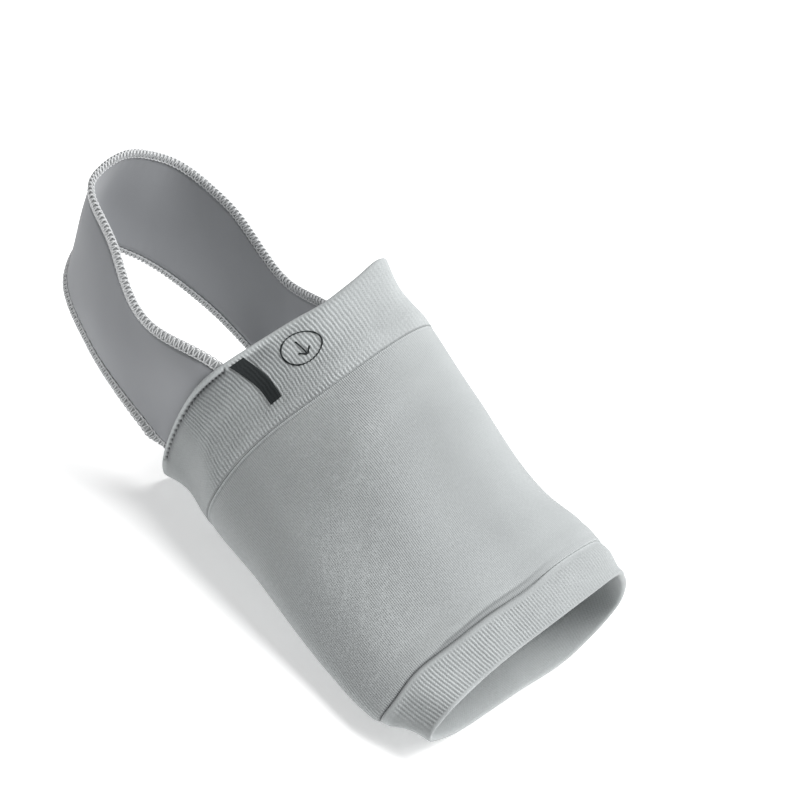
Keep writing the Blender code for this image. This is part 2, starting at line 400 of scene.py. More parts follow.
def meshValue(tree, name):
    # a value that the mesh carries at each point
    node = tree.nodes.new("ShaderNodeAttribute")
    node.attribute_name = name
    return node.outputs["Fac"]


def clothColour(tree, shader, tone, colour, melange):
    # painted shade and light: crease above 0 shades the cloth toward black, below 0 lights it up
    crease = meshValue(tree, "crease")
    lit = minus(tree, tone, crease)
    yarns = colourBetween(tree, lit, shade(colour, 1 - melange), shade(colour, 1 + melange))
    mix = tree.nodes.new("ShaderNodeMix")
    mix.data_type = "RGBA"
    mix.clamp_factor = False
    mix.inputs[7].default_value = (*colours["crease"], 1.0)
    tree.links.new(crease, mix.inputs[0])
    tree.links.new(yarns, mix.inputs[6])
    tree.links.new(mix.outputs[2], shader.inputs["Base Color"])


def jerseyMaterial(name, colour, grain, melange):
    tree, shader, material = newMaterial(name, 0.9, knit["sheen"])
    uv, u, v = clothMap(tree)
    wales = stripes(tree, u, knit["walePitch"])
    slant = maths(tree, "PINGPONG", u, 0.5 * knit["walePitch"])
    courses = stripes(tree, plus(tree, v, slant), knit["coursePitch"])
    yarn = speckle(tree, uv, 1.7, (1.0, 0.6, 1.0))
    blotch = speckle(tree, uv, 0.11, detail=3.0)
    patch = maths(tree, "POWER", speckle(tree, uv, 0.27), 2.0)  # the rows show in short patches
    weave = layers(tree, (wales, 0.8), (courses, 0.5))
    strength = meshValue(tree, "knit")
    rows = times(tree, minus(tree, weave, 0.5), patch)
    specks = times(tree, minus(tree, yarn, 0.5), knit["yarnTone"] * grain)
    seen = plus(tree, times(tree, rows, knit["rowTone"] * grain), specks)
    seen = times(tree, plus(tree, seen, 0.16), strength)  # bright where it shows most
    tone = plus(tree, layers(tree, (blotch, 0.25)), seen)
    clothColour(tree, shader, tone, colour, melange)
    height = times(tree, layers(tree, (weave, 1.0), (yarn, 0.8)), grain)
    bumpFrom(tree, shader, times(tree, height, plus(tree, strength, 0.15)), 0.08)
    return material


def ribMaterial(name, pitch, paintedLight):
    tree, shader, material = newMaterial(name, 0.9, knit["sheen"])
    uv, u, v = clothMap(tree)
    strength = meshValue(tree, "knit")
    crest = stripes(tree, u, pitch)
    slant = maths(tree, "PINGPONG", u, 0.5 * pitch)
    loops = stripes(tree, plus(tree, v, slant), knit["loopPitch"])
    yarn = speckle(tree, uv, 1.9, (1.0, 0.55, 1.0), detail=3.0)
    blotch = speckle(tree, uv, 0.15, detail=3.0)
    ribs = times(tree, minus(tree, crest, 0.5), knit["ribTone"])
    ribs = times(tree, plus(tree, ribs, 0.06), strength)
    specks = layers(tree, (loops, 0.24), (yarn, knit["ribYarnTone"]))
    rough = plus(tree, times(tree, strength, 0.6), 0.4)
    specks = times(tree, minus(tree, specks, 0.5), rough)
    tone = plus(tree, plus(tree, layers(tree, (blotch, 0.30)), ribs), specks)
    clothColour(tree, shader, tone, shade(colours["knit"], paintedLight), knit["ribMelange"])
    bumpFrom(tree, shader, times(tree, layers(tree, (loops, 0.6), (yarn, 1.2)), rough), 0.10)
    return material


def threadMaterial():
    tree, shader, material = newMaterial("paleThread", 0.85, 0.3)
    uv, u, v = clothMap(tree)
    twist = stripes(tree, plus(tree, u, v), 0.42)
    fuzz = speckle(tree, uv, 2.5)
    tone = plus(tree, times(tree, twist, 0.35), times(tree, fuzz, 0.65))
    white = colourBetween(tree, tone, *colours["thread"])
    tree.links.new(white, shader.inputs["Base Color"])
    bumpFrom(tree, shader, plus(tree, twist, fuzz), 0.05)
    return material


def siliconeMaterial():
    tree, shader, material = newMaterial("archSilicone", 0.35)
    coordinates = tree.nodes.new("ShaderNodeTexCoord").outputs["Object"]
    mist = speckle(tree, coordinates, 60.0, detail=3.0)
    greyGreen = colourBetween(tree, mist, *colours["silicone"])
    tree.links.new(greyGreen, shader.inputs["Base Color"])
    bumpFrom(tree, shader, speckle(tree, coordinates, 900.0), 0.03)
    shader.inputs["Subsurface Weight"].default_value = 0.15
    shader.inputs["Subsurface Radius"].default_value = (0.003, 0.004, 0.004)
    shader.inputs["Subsurface Scale"].default_value = 1.0
    shader.inputs["Specular IOR Level"].default_value = 0.45
    return material


def printMaterial(pitch):
    tree, shader, material = newMaterial("blackPrint", 0.7, 0.1)
    uv, u, v = clothMap(tree)
    crest = stripes(tree, u, pitch)
    fleck = speckle(tree, uv, 2.2, detail=3.0)
    tone = layers(tree, (crest, 0.15), (fleck, 1.1))
    black = colourBetween(tree, tone, *colours["print"])
    tree.links.new(black, shader.inputs["Base Color"])
    bumpFrom(tree, shader, fleck, 0.06)
    return material


# Instep welt: ribs from the rolled rear hem to the body
instep = {
    "wall": 1.8,
    "ribs": 185,
    "finer": 0.12,           # share by which the ribs are finer low on the outer side
    "ribDepth": 0.34,
    "samplesPerRib": 6,
    "hem": 0.45,             # width of the plain hem on top
    "seamHem": 1.6,          # and where the strap is sewn in
    "dashes": 265,           # short stitches round that hem
    "seamOuter": (0.148, 0.327),
    "seamInner": (0.700, 0.872),
    # stitches sewn up to each fraction of the girth, loose low down and tight near the corner
    "stitches": ((0.14, 0), (0.25, 11), (0.28, 15), (0.33, 25), (0.69, 25), (0.88, 47)),
    # how far the line beside the body strays, and the rear edge
    "joint": (
        (0.10, 0.8), (0.22, 1.1), (0.25, 0.0), (0.28, -0.6), (0.33, -0.5), (0.36, 0.2),
        (0.40, 1.0), (0.45, 1.4), (0.55, 0.9),
    ),
    "rear": (
        (0.10, 0.0), (0.33, -0.2), (0.40, -0.5), (0.44, 0.1), (0.472, 1.5), (0.50, 0.5),
        (0.53, 0.2), (0.566, -2.8), (0.60, -0.9), (0.66, 0.0),
    ),
}


def instepShift(run):
    # ribs bend as they go: mm round the girth
    return 0.08 * run - 0.955 * np.sin(pi * (run - 6.0) / 15.0)


def instepGirth(run, f):
    # mm round the welt, counted in ribs, so that a rib is always as wide as the next on the map
    finer = instep["finer"] / (2 * pi) * np.sin(2 * pi * (f - 0.22))
    wobble = 0.10 * np.sin(1.1 * run + 2 * pi * 31 * f) + 0.07 * np.sin(2.3 * run - 2 * pi * 17 * f)
    return form["girth"] * (f + finer) - instepShift(run) + wobble


def instepMap(runs, fractions):
    return instepGirth(*gridOf(runs, fractions))


def seamShare(fractions):
    share = np.zeros_like(fractions)
    for low, high in (instep["seamOuter"], instep["seamInner"]):
        share = np.maximum(share, between(fractions, low - 0.012, low, high - 0.006, high + 0.003))
    return share


def hemWidth(f):
    return instep["hem"] + (instep["seamHem"] - instep["hem"]) * seamShare(f)


def instepRibs(runs, fractions):
    # how strongly the ribs show. They are drawn flat low on the outer side and on the inner side of the top
    run, f = gridOf(runs, fractions)
    hem = hemWidth(f)
    edge = 0.233 - 0.0006 * run
    drawnFlat = 0.92 * between(f, 0.03, 0.07, edge - 0.012, edge + 0.020)
    drawnFlat = drawnFlat + 0.80 * between(f, 0.41, 0.53, 0.58, 0.66)
    return between(run, hem + 0.1, hem + 0.8, 24.35, 24.85) * (1 - drawnFlat) * uneven(run, f)


def uneven(run, f):
    # the ribs stand out more here and less there
    return 0.86 + 0.14 * np.sin(2 * pi * 9 * f + 0.55 * run) * np.sin(2 * pi * 5 * f - 0.38 * run + 1.0)


def stitchHoles(f):
    at, sewn = np.array(instep["stitches"]).T
    return (0.5 + 0.5 * np.cos(2 * pi * np.interp(f, at, sewn))) ** 2


def instepPaintedShade(runs, fractions):
    # painted shade in the groove beside the seam hem, darker at the stitch holes, and at the line next to the
    # body, with a painted shadow beside the hem and a painted highlight on it
    run, f = gridOf(runs, fractions)
    seam = seamShare(f)
    tight = smoothStep(0.23, 0.28, f)
    dots = 0.20 + 0.24 * tight + (0.85 - 0.35 * tight) * stitchHoles(f)
    line = seam * bump(run, hemWidth(f) + 0.16, 0.42 - 0.10 * tight) * dots
    shadow = 0.20 * seam * bump(run, hemWidth(f) + 0.7, 0.8)
    hemLight = -0.10 * seam * bump(run, 0.7, 0.5)
    joint = 0.30 * bump(run, 24.75, 0.22)
    # painted shade low down and toward the seam, painted light over the top
    paintedLowShade = 0.13 * between(f, 0.10, 0.16, 0.22, 0.27)
    beside = between(f, 0.10, 0.15, 0.37, 0.40) * (0.45 + 0.55 * smoothStep(0.20, 0.29, f))
    beside = 0.38 * beside * bump(run, 0.0, 10.5) + 0.13 * bump(run, 3.0, 3.0) * bump(f, 0.42, 0.03)
    top = -0.10 * between(f, 0.38, 0.45, 0.49, 0.55) * smoothStep(1.0, 2.5, run)
    shading = (paintedLowShade + beside) * smoothStep(1.5, 2.5, run) + top
    return np.clip(line + shadow + hemLight + joint + shading, -0.3, 0.95)


def instepRelief(runs, fractions):
    run, f = gridOf(runs, fractions)
    seam = seamShare(f)
    hem = hemWidth(f)
    phase = 2 * pi * instep["ribs"] / form["girth"] * instepGirth(run, f)
    ribs = -instep["ribDepth"] * (0.5 - 0.5 * np.cos(phase)) * instepRibs(runs, fractions)
    groove = -(0.05 + (0.30 + 0.32 * smoothStep(0.23, 0.28, f)) * seam) * bump(run, hem + 0.17, 0.32)
    pits = -0.65 * seam * bump(run, hem + 0.17, 0.34) * stitchHoles(f)
    dashes = -0.14 * seam * bump(run, 0.8, 0.22) * (0.5 + 0.5 * np.cos(2 * pi * instep["dashes"] * f))
    roll = 0.12 * np.sin(pi * np.clip(run / hem, 0.0, 1.0))
    joint = -0.20 * bump(run, 24.75, 0.18)
    return ribs + groove + pits + dashes + roll + joint - 0.25 * smoothStep(20.0, 24.0, run)


def jointSlide(runs, fractions):
    # the line between the welt and the body wanders a little
    run, f = gridOf(runs, fractions)
    return between(run, 12.0, 23.0, 27.0, 42.0) * wander(f, instep["joint"])


def instepSlide(runs, fractions):
    run, f = gridOf(runs, fractions)
    return jointSlide(runs, fractions) + (1 - smoothStep(0.5, 7.0, run)) * wander(f, instep["rear"])


def bandPiece(name, profile, columns, relief, slide, looks, material):
    # profile goes round the wall: rows of (run, lift, share of the relief). looks are functions for the
    # map round the girth, the knit and the painted shade and light
    girthAt, knitAt, paintedShadeAt = looks
    profile = np.array(profile)
    fractions = np.arange(columns) / columns
    runs = profile[:, 0]
    lift = profile[:, 1][:, None] + profile[:, 2][:, None] * relief(runs, fractions)
    grid = clothPoints(runs, fractions, lift, slide(runs, fractions))
    mapRuns = np.append(runs, runs[0])
    girth = girthAt(mapRuns, np.arange(columns + 1) / columns)
    cloth = np.stack(np.broadcast_arrays(girth, mapRuns[:, None]), axis=2)
    part = sweep(grid.transpose(1, 0, 2), True, cloth.transpose(1, 0, 2))
    piece = makePiece(name, [part], [material])
    # the crease attribute carries painted shade and painted highlights
    for label, valueAt in (("knit", knitAt), ("crease", paintedShadeAt)):
        values = valueAt(runs, fractions) * np.minimum(1.0, 0.35 + profile[:, 2])[:, None]
        attribute = piece.data.attributes.new(label, "FLOAT", "POINT")
        attribute.data.foreach_set("value", values.T.ravel().astype(np.float32))
    return piece


def roundEdge(run, direction, wall, steps=5):
    # half circle from the outer face over a cut edge to the inner face
    radius = wall / 2
    rows = []
    for k in range(1, steps + 1):
        angle = pi * k / (steps + 1)
        share = max(0.0, cos(angle))
        rows.append((run - direction * radius * (1 - sin(angle)), radius + radius * cos(angle), share))
    return rows


def makeInstepWelt(material):
    wall = instep["wall"]
    fine = np.arange(wall / 2, 4.2, 0.2)
    coarse = np.linspace(4.5, 23.0, 20)
    close = (23.4, 23.7, 23.95, 24.15, 24.3, 24.42, 24.55, 24.68, 24.8)
    outer = [(run, wall, 1.0) for run in (*fine, *coarse, *close)]
    end = [(24.92, wall - 0.02, 1.0), (24.96, wall - 0.12, 0.9), (24.96, 0.9, 0.0), (24.75, 0.72, 0.0)]
    under = [(23.7, 0.70, 0.0), (23.3, 0.35, 0.0), (23.0, 0.0, 0.0)]
    inner = [(run, 0.0, 0.0) for run in np.linspace(21.0, wall / 2, 9)]
    rear = roundEdge(0.0, -1, wall)[::-1]
    profile = outer + end + under + inner + rear
    columns = instep["ribs"] * instep["samplesPerRib"]
    looks = (instepMap, instepRibs, instepPaintedShade)
    return bandPiece("instepWelt", profile, columns, instepRelief, instepSlide, looks, material)


# Body: plain jersey, drawn smooth, down to the crease before the toe welt
body = {
    "wall": 1.2,
    "start": 25.0,
    "end": 106.9,
    "columns": 460,
    "rows": 84,
    "valley": (1.4, 2.2),    # mm from the crease back to the soft line beside it, low down and on top
    # how far the crease strays
    "crease": (
        (0.10, 0.8), (0.24, 1.3), (0.263, 0.3), (0.285, -1.5), (0.30, -2.1), (0.32, -1.4),
        (0.35, -0.7), (0.37, -0.4), (0.40, -0.55), (0.437, 0.3), (0.475, 1.1), (0.50, 0.2),
        (0.53, -0.5), (0.75, 0.0),
    ),
}


def creaseSlide(runs, fractions):
    run, f = gridOf(runs, fractions)
    return between(run, 92.0, 103.0, 110.0, 118.0) * wander(f, body["crease"])


def bodySlide(runs, fractions):
    run, f = gridOf(runs, fractions)
    meet = 0.22 * smoothStep(105.0, 106.6, run) * flush(f)
    return jointSlide(runs, fractions) + creaseSlide(runs, fractions) + meet


def bodyMap(runs, fractions):
    run, f = gridOf(runs, fractions)
    past = run - body["start"]
    return form["girth"] * f - 0.2 * past + 0.0018 * past**2


def bodyKnit(runs, fractions):
    # the knit shows most where it is stretched, on a band that slants over the top
    run, f = gridOf(runs, fractions)
    plain = 0.55 - 0.35 * between(f, 0.44, 0.52, 0.62, 0.70)
    band = bump(f, 0.42 - 0.0021 * (run - 32.0), 0.062) * (1 - 0.5 * smoothStep(92.0, 104.0, run))
    return plain + 1.7 * band


def flush(f):
    # on the inner side of the top the cloth goes on smoothly from the body into the welt
    return between(f, 0.47, 0.55, 0.63, 0.70)


def creaseShadeStrength(f):
    # the painted shade line at the toe welt fades low on the outer side and toward the inner side
    fromLow = 1 - 0.6 * between(f, 0.08, 0.12, 0.215, 0.255)
    return fromLow * (1 - 0.35 * smoothStep(0.42, 0.49, f)) * (1 - 0.93 * flush(f))


def valleyAt(f):
    # 1 where two lines run beside each other over the top, 0 where they are one, and the softer one's run
    apart = between(f, 0.30, 0.36, 0.70, 0.80)
    low, high = body["valley"]
    return apart, body["end"] - (low + (high - low) * smoothStep(0.36, 0.46, f)) * apart


def bodyPaintedShade(runs, fractions):
    # painted shade in the valley band and along the lines by the toe welt, painted shade and a painted
    # highlight at the joint with the welt, painted light where the body meets the toe welt flush
    run, f = gridOf(runs, fractions)
    apart, back = valleyAt(f)
    strong = creaseShadeStrength(f)
    band = 0.20 * apart * smoothStep(back - 0.9, back + 0.2, run)
    softShadowLine = 0.26 * apart * bump(run, back, 0.42)
    line = (0.36 - 0.16 * apart) * smoothStep(105.9, 106.7, run)
    joint = 0.14 * bump(run, 25.95, 0.25) - 0.20 * bump(run, 25.42, 0.24)
    joint = joint * (1 - 0.8 * smoothStep(0.36, 0.42, f))
    meet = -0.11 * flush(f) * smoothStep(106.2, 106.6, run)
    return (band + softShadowLine + line) * strong + joint + meet + bodyPaintedLightAndShade(run, f)


def bodyPaintedLightAndShade(run, f):
    # painted light on a band that slants over the top and near the rear of the top, painted shade low on the
    # outer side and along the top
    middle = 0.42 - 0.085 * smoothStep(45.0, 68.0, run) - 0.0007 * np.maximum(0.0, run - 60.0)
    share = (0.15 + 0.10 * smoothStep(55.0, 75.0, run)) * (1 - 0.7 * smoothStep(96.0, 103.0, run))
    # painted highlight along the slanting band
    thin = -share * bump(f, middle, 0.042)
    thin = thin - 0.10 * bump(run, 26.0, 8.0) * between(f, 0.42, 0.48, 0.54, 0.60)
    low = 0.10 * bump(f, 0.31, 0.04) * (1 - smoothStep(40.0, 60.0, run))
    low = low + 0.12 * between(f, 0.17, 0.20, 0.255, 0.30)
    top = 0.12 * bump(f, 0.50, 0.055) * smoothStep(42.0, 58.0, run) * (1 - 0.5 * smoothStep(90.0, 100.0, run))
    return thin + low + top


def bodyRelief(runs, fractions):
    run, f = gridOf(runs, fractions)
    around = 2 * pi * f
    slow = 0.16 * np.sin(0.09 * run + 3 * around + 1.0) * np.sin(0.05 * run + 2 * around)
    pull = 0.08 * np.sin(11 * around + 0.10 * run) * smoothStep(75.0, 102.0, run)
    ridge = 0.20 * bump(run, 25.42, 0.22) - 0.16 * bump(run, 25.95, 0.22)
    ridge = ridge * (1 - 0.7 * smoothStep(0.36, 0.42, f))
    apart, back = valleyAt(f)
    valley = -(0.22 + 0.20 * apart) * smoothStep(back - 1.0, back + 0.3, run) * (1 - flush(f))
    line = -0.16 * bump(run, back, 0.45) * apart * (1 - 0.7 * flush(f))
    swell = (0.20 + 0.15 * flush(f)) * smoothStep(back - 6.0, back - 2.2, run)
    return slow + pull + ridge + valley + line + swell


def makeSleeveBody(material):
    wall = body["wall"]
    start = [(25.04, 1.10, 0.3), (25.08, 1.22, 0.7)]
    near = (25.2, 25.35, 25.5, 25.65, 25.8, 25.95, 26.1, 26.3)
    close = (*np.arange(102.0, 106.3, 0.3), 106.45)
    runs = (*near, *np.linspace(26.8, 101.4, body["rows"]), *close)
    outer = [(run, wall + 0.02, 1.0) for run in runs]
    end = [(106.65, 1.1, 1.0), (106.8, 0.85, 0.8), (106.88, 0.62, 0.5), (106.95, 0.5, 0.0)]
    tip = [(108.1, 0.45, 0.0), (108.25, 0.25, 0.0), (108.1, 0.02, 0.0)]
    inner = [(run, 0.02, 0.0) for run in np.linspace(105.0, 26.0, 30)]
    tongue = [(23.9, 0.02, 0.0), (23.75, 0.25, 0.0), (23.9, 0.48, 0.0), (24.9, 0.52, 0.0)]
    profile = start + outer + end + tip + inner + tongue
    looks = (bodyMap, bodyKnit, bodyPaintedShade)
    return bandPiece("sleeveBody", profile, body["columns"], bodyRelief, bodySlide, looks, material)


# Toe welt: a plain rolled strip beside the crease, then ribs to the edge
toe = {
    "start": 107.15,
    "end": 125.0,
    "wall": 1.8,
    "ribs": 212,
    "ribDepth": 0.27,
    "strip": 1.3,            # width of the plain strip
    "samplesPerRib": 6,
    # how far the front edge strays
    "edge": (
        (0.10, 0.8), (0.24, 0.6), (0.285, -0.4), (0.36, -0.8), (0.42, -0.4), (0.46, 0.1),
        (0.55, 0.4), (0.80, 0.0),
    ),
}


def toeShift(run, f):
    sway = 0.06 * np.sin(0.9 * run + 2 * pi * 13 * f) * np.sin(0.35 * run - 2 * pi * 7 * f)
    return 0.2 * np.sin(2 * pi * (f - 0.41)) * (run - 108.0) + sway


def toeMap(runs, fractions):
    run, f = gridOf(runs, fractions)
    return form["girth"] * f - toeShift(run, f)


def toeSlide(runs, fractions):
    run, f = gridOf(runs, fractions)
    return creaseSlide(runs, fractions) + smoothStep(112.0, 124.0, run) * wander(f, toe["edge"])


def toeRibs(runs, fractions):
    run, f = gridOf(runs, fractions)
    begin = toe["start"] + toe["strip"]
    drawnFlat = 0.9 * between(f, 0.03, 0.07, 0.235, 0.25) + 0.55 * between(f, 0.42, 0.55, 0.60, 0.68)
    return between(run, begin, begin + 1.3, 123.2, 124.0) * (1 - drawnFlat) * uneven(run, f)


def toePaintedShade(runs, fractions):
    # painted shade along the line where the welt meets the body, painted light where they meet flush, and
    # broad painted shade low on the outer side and over the top
    run, f = gridOf(runs, fractions)
    strong = creaseShadeStrength(f)
    apart = valleyAt(f)[0]
    sharpShade = (0.20 - 0.12 * apart) * (1 - smoothStep(107.15, 107.6, run))
    soft = (0.16 - 0.03 * apart) * (1 - smoothStep(107.3, 108.3 + 0.6 * apart, run))
    meet = -0.11 * flush(f) * (1 - smoothStep(107.3, 107.7, run))
    low = 0.15 * between(f, 0.12, 0.16, 0.265, 0.29) * smoothStep(109.5, 111.5, run)
    low = low - 0.06 * bump(f, 0.31, 0.025)
    top = 0.08 * between(f, 0.36, 0.48, 0.60, 0.66)
    return (sharpShade + soft) * strong + meet + (low + top) * smoothStep(107.5, 108.5, run)


def toeRelief(runs, fractions):
    run, f = gridOf(runs, fractions)
    phase = 2 * pi * toe["ribs"] * (f - toeShift(run, f) / form["girth"])
    ribs = -toe["ribDepth"] * (0.5 - 0.5 * np.cos(phase)) * toeRibs(runs, fractions)
    sag = -0.10 * bump(run, toe["start"] + toe["strip"] + 0.3, 0.7)
    rim = 0.06 * bump(run, 124.2, 0.5) - 0.36 * flush(f) * (1 - smoothStep(108.0, 113.0, run))
    wave = 0.10 * np.sin(9 * 2 * pi * f + 0.5) * smoothStep(112.0, 125.0, run)
    return ribs + sag + rim + wave


def makeToeWelt(material):
    wall = toe["wall"]
    rise = [(107.2, 0.78, 0.0), (107.1, 0.95, 0.2), (107.15, 1.18, 0.6)]
    bend = [(107.35, 1.36, 0.8), (107.7, 1.52, 1.0)]
    runs = (108.2, *np.arange(108.6, 111.4, 0.4), *np.linspace(111.8, 122.8, 14), 123.2, 123.6, 123.9)
    outer = [(run, wall - 0.18 * (1 - smoothStep(107.7, 110.0, run)), 1.0) for run in runs]
    front = roundEdge(toe["end"], 1, wall)
    inner = [(run, 0.0, 0.0) for run in np.linspace(123.8, 110.0, 8)]
    under = [(109.2, 0.30, 0.0), (108.7, 0.66, 0.0), (107.6, 0.72, 0.0)]
    profile = rise + bend + outer + front + inner + under
    columns = toe["ribs"] * toe["samplesPerRib"]
    looks = (toeMap, toeRibs, toePaintedShade)
    return bandPiece("toeWelt", profile, columns, toeRelief, toeSlide, looks, material)


# Heel strap: rows across its outer face from the outer seam to its rearmost bend
StrapRow = namedtuple("StrapRow", "centreY lower middle upper")
strapRows = (
    StrapRow(0.0, (-66.0, -30.5, 13.9), (-71.5, -32.6, 31.7), (-76.0, -31.7, 47.2)),
    StrapRow(-3.5, (-95.5, -30.4, 24.9), (-99.0, -33.1, 43.5), (-102.0, -30.0, 63.9)),
    StrapRow(-6.5, (-118.5, -21.8, 33.4), (-120.0, -22.0, 53.1), (-119.8, -23.2, 71.5)),
    StrapRow(-6.5, (-126.0, -6.5, 37.5), (-126.5, -6.5, 56.5), (-122.5, -6.5, 75.3)),
)
strap = {
    "wall": 1.3,
    "width": 39.5,           # with its overlocked edges
    "overlap": 8.0,          # sewn in under the instep welt
    "runOut": 1.0,           # and straight out past its rear edge
    "gap": 0.5,              # under the welt
    "columns": 24,
    "step": 1.2,
    "edging": 1.2,           # half width of the overlocked edges
    "endSeam": 0.9,          # and of the overlocked ends
    "edgingGap": 0.3,
}


def strapFace():
    columns = strap["columns"] + 1
    edge = (strap["edgingGap"] + 2 * strap["edging"]) / strap["width"]
    t = np.linspace(edge, 1 - edge, columns)
    seamRuns = np.linspace(strap["overlap"], -strap["runOut"], 3)
    outerSeam = clothPoints(seamRuns, np.interp(t, (0, 1), instep["seamOuter"]), -strap["gap"])
    innerSeam = clothPoints(seamRuns, np.interp(t, (0, 1), instep["seamInner"][::-1]), -strap["gap"])
    u = t[:, None]
    rows = []
    for row in strapRows:
        a, b, c = (np.array(point)[None, :] for point in (row.lower, row.middle, row.upper))
        rows.append(a * (1 - u) * (1 - 2 * u) + 4 * b * u * (1 - u) + c * u * (2 * u - 1))
    mirrored = []
    for row, points in list(zip(strapRows, rows))[-2::-1]:
        mirrored.append(points * (1, -1, 1) + (0, 2 * row.centreY, 0))
    path = np.array(list(outerSeam) + rows + mirrored + list(innerSeam[::-1]))
    along = lengthsAlong(path[:, columns // 2])
    stations = np.linspace(along[0], along[-1], round(along[-1] / strap["step"]) + 1)
    face = smoothRows(along, path.reshape(len(path), -1), stations).reshape(len(stations), -1, 3)
    inward = unit(np.cross(np.gradient(face, axis=0), np.gradient(face, axis=1)))
    return face, inward, stations, along


def makeHeelStrap(material, face, inward, stations):
    wall = strap["wall"]
    across = lengthsAlong(face[len(face) // 2])
    width = across[-1]
    fromEdge = np.minimum(across, width - across)[None, :]
    s = stations[:, None]
    pucker = 0.10 * np.sin(2 * pi * s / 3.4) * np.exp(-fromEdge / 2.2)
    drift = 0.10 * np.sin(0.11 * s + 0.25 * across[None, :])
    thin = 0.06 * np.exp(-fromEdge / 0.7)  # the cut edge is pressed flat by the overlock
    outer = face + (thin - pucker - drift)[:, :, None] * inward
    inner = face + (wall - thin - pucker - drift)[:, :, None] * inward
    rings = np.concatenate([outer, inner[:, ::-1]], axis=1)
    acrossLoop = np.concatenate([across, across[::-1], across[:1]])
    cloth = flatMap(stations, acrossLoop)[:, :, ::-1]
    part = sweep(rings, False, cloth)
    return makePiece("heelStrap", [part], [material])


# Overlocked edges and ends: cloth edge wrapped in looper threads, with a needle line and a rim chain
overlock = {
    "thread": 0.23,
    "pitch": 1.5,
    "cornerPitch": 0.5,      # longer stitches near the seams, by so much
    "halfWidth": 1.30,
    "halfHeight": 0.86,
    "tight": 0.78,           # share of the width far from the corners
    "loose": 1.14,           # and at them
    "tuck": 3.5,             # how far the ends go in under the instep welt
    "curl": (24.0, 4.0),     # degrees that the lower and the upper edge turn outward
    "cornerReach": 24.0,     # mm from each end that the longer stitches go on
    "rimAngle": 10.0,        # degrees over the edge where the looper threads turn
    "clothAngle": 152.0,     # and at the needle line
    "overCloth": 1.40,       # how far they reach in over the cloth
    "needleLine": 1.24,
    "coreReach": 1.43,
    "satinReach": 1.44,
    "samples": 10,
}


def overlockParts(centre, out, normal, size=1.0, corner=(1.0, 1.0), satin=0.0):
    # centre, out and normal run along the edge. out points off the cloth, normal off its outer face
    along = lengthsAlong(centre)
    total = along[-1]

    def place(s, a, b):
        # a across the edge, b over it, in millimetres
        point = np.column_stack([np.interp(s, along, centre[:, n]) for n in range(3)])
        outward = unit(np.column_stack([np.interp(s, along, out[:, n]) for n in range(3)]))
        over = unit(np.column_stack([np.interp(s, along, normal[:, n]) for n in range(3)]))
        return point + a[:, None] * outward + b[:, None] * over

    # stitches are longer and looser near the corners
    fine = np.linspace(0.0, total, 4000)
    reach = overlock["cornerReach"]
    near = corner[0] * bump(fine, 0.0, reach) + corner[1] * bump(fine, total, reach)
    pitch = size * (overlock["pitch"] + overlock["cornerPitch"] * near)
    turns = np.concatenate([[0.0], np.cumsum(np.diff(fine) / pitch[:-1])])
    count = int(turns[-1])
    phase = np.arange(count * overlock["samples"] + 1) / overlock["samples"]
    s = np.interp(phase, turns, fine)
    loose = overlock["tight"] + (overlock["loose"] - overlock["tight"]) * np.interp(s, fine, near)
    wide = size * overlock["halfWidth"] * loose
    high = size * overlock["halfHeight"]
    thread = size * overlock["thread"]
    parts = []

    # cut edge of the cloth under the threads
    sCore = np.linspace(0.0, total, int(total / 0.9))
    core = []
    rim = np.interp(sCore, s, wide) - 0.25 * size
    inner = -overlock["coreReach"] * size
    for angle in anglesRound(16):
        a = 0.5 * (rim + inner) + 0.5 * (rim - inner) * np.sign(cos(angle)) * abs(cos(angle)) ** 0.6
        b = 0.60 * size * np.sign(sin(angle)) * abs(sin(angle)) ** (0.35 if cos(angle) < 0 else 0.8)
        core.append(place(sCore, a, np.full(len(sCore), b)))
    rings = np.array(core).transpose(1, 0, 2)
    parts.append(sweep(rings, False, flatMap(sCore, np.linspace(0, 6, 17)), 1))

    wobble = 1.0 + 0.05 * np.sin(phase * 2.39) + 0.04 * np.sin(phase * 5.1 + 1.0)
    sway = np.sin(2 * pi * phase)
    swing = 0.5 - 0.5 * np.cos(2 * pi * phase)
    clothAngle = radians(overlock["clothAngle"])
    rimAngle = radians(overlock["rimAngle"])
    for face in (1, -1):
        # from the needle line over the rim and back
        angle = clothAngle - (clothAngle - rimAngle) * swing**0.85
        a = np.where(np.cos(angle) > 0, wide * wobble, overlock["overCloth"] * size) * np.cos(angle)
        b = face * (high * np.sin(angle) + 0.05)
        parts.append(threadTube(place(s + 0.12 * size * sway, a, b), thread))
    a = wide * 1.02 + 0.12 * size * np.cos(2 * pi * phase)
    parts.append(threadTube(place(s, a, 0.26 * size * sway), thread * 0.95))
    for face in (1, -1):
        a = size * (0.10 * sway - overlock["needleLine"])
        b = face * size * (0.60 + 0.20 * np.abs(np.sin(pi * phase)))
        parts.append(threadTube(place(s, a, b), thread * 0.95))
    if satin:
        # away from the corners the needle threads lie close and make a smooth band on the outer face
        close = satin * (1 - smoothStep(0.05, 0.45, np.interp(s, fine, near)))
        half = thread * 0.8 + 0.36 * close * wide
        middle = half - overlock["satinReach"] * size
        rings = []
        for angle in anglesRound(10):
            a = middle + half * cos(angle)
            b = 0.66 + (0.16 + 0.10 * close + 0.03 * sway) * sin(angle) - 0.10 * cos(angle)
            rings.append(place(s, a, size * b))
        parts.append(sweep(np.array(rings).transpose(1, 0, 2), False, flatMap(s, np.linspace(0, 2, 11))))
    return parts


